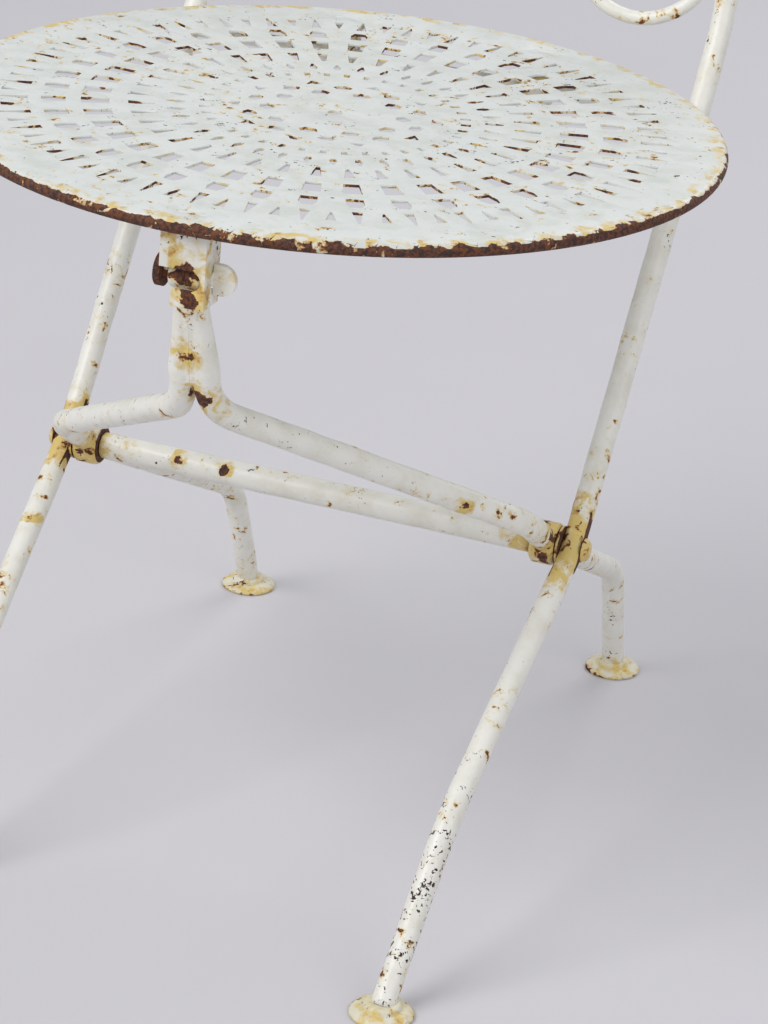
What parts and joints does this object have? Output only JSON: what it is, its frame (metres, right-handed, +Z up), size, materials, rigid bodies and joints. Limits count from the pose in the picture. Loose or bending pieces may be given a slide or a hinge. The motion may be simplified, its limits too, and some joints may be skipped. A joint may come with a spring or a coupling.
{
  "type": "folding garden chair",
  "caption": "Folding metal bistro chair with a pierced round seat, crossed bar legs and a scrolled back; the legs scissor and the seat lifts with them.",
  "frame": {"origin": "on the floor under the middle of the chair's box", "axes": "+Z up, -Y towards the front of the seat, +X to the viewer's right from the front"},
  "size_m": [0.42, 0.5358, 0.8371],
  "materials": {
    "frame_paint": "chipped off-white paint",
    "foot_paint": "rust-stained off-white paint",
    "seat_paint": "worn cool white paint with a rusty edge",
    "bare_iron": "old iron, brown with rust"
  },
  "bodies": {
    "front_frame": {"long_bar_left": "frame_paint", "long_bar_right": "frame_paint", "front_foot_left": "foot_paint", "front_foot_right": "foot_paint", "crossbar": "frame_paint", "pivot_washer_left": "bare_iron", "pivot_washer_right": "bare_iron", "seat_rod": "frame_paint", "back_arch": "frame_paint", "back_scroll_left": "frame_paint", "back_scroll_right": "frame_paint", "scroll_collars": "frame_paint"},
    "rear_fork": {"fork_bar_left": "frame_paint", "fork_bar_right": "frame_paint", "rear_foot_left": "foot_paint", "rear_foot_right": "foot_paint", "head_pin": "bare_iron"},
    "seat": {"seat_pan": "seat_paint", "rim_wire": "bare_iron", "front_bracket": "seat_paint", "seat_loop_left": "seat_paint", "seat_loop_right": "seat_paint", "bracket_rivets": "bare_iron", "loop_rivets": "bare_iron"}
  },
  "joints": [
    {"name": "fold", "type": "hinge", "parent": "front_frame", "child": "rear_fork", "pos_m": [0, -0.03336, 0.1825], "axis": [-1, 0, 0], "range_deg": [0, 71]},
    {"name": "seat_lift", "type": "hinge", "parent": "front_frame", "child": "seat", "pos_m": [0, 0.12114, 0.388], "axis": [-1, 0, 0], "range_deg": [0, 61.97]}
  ],
  "couplings": [
    {"joint": "seat_lift", "follows": "fold", "ratio": 0.87}
  ]
}
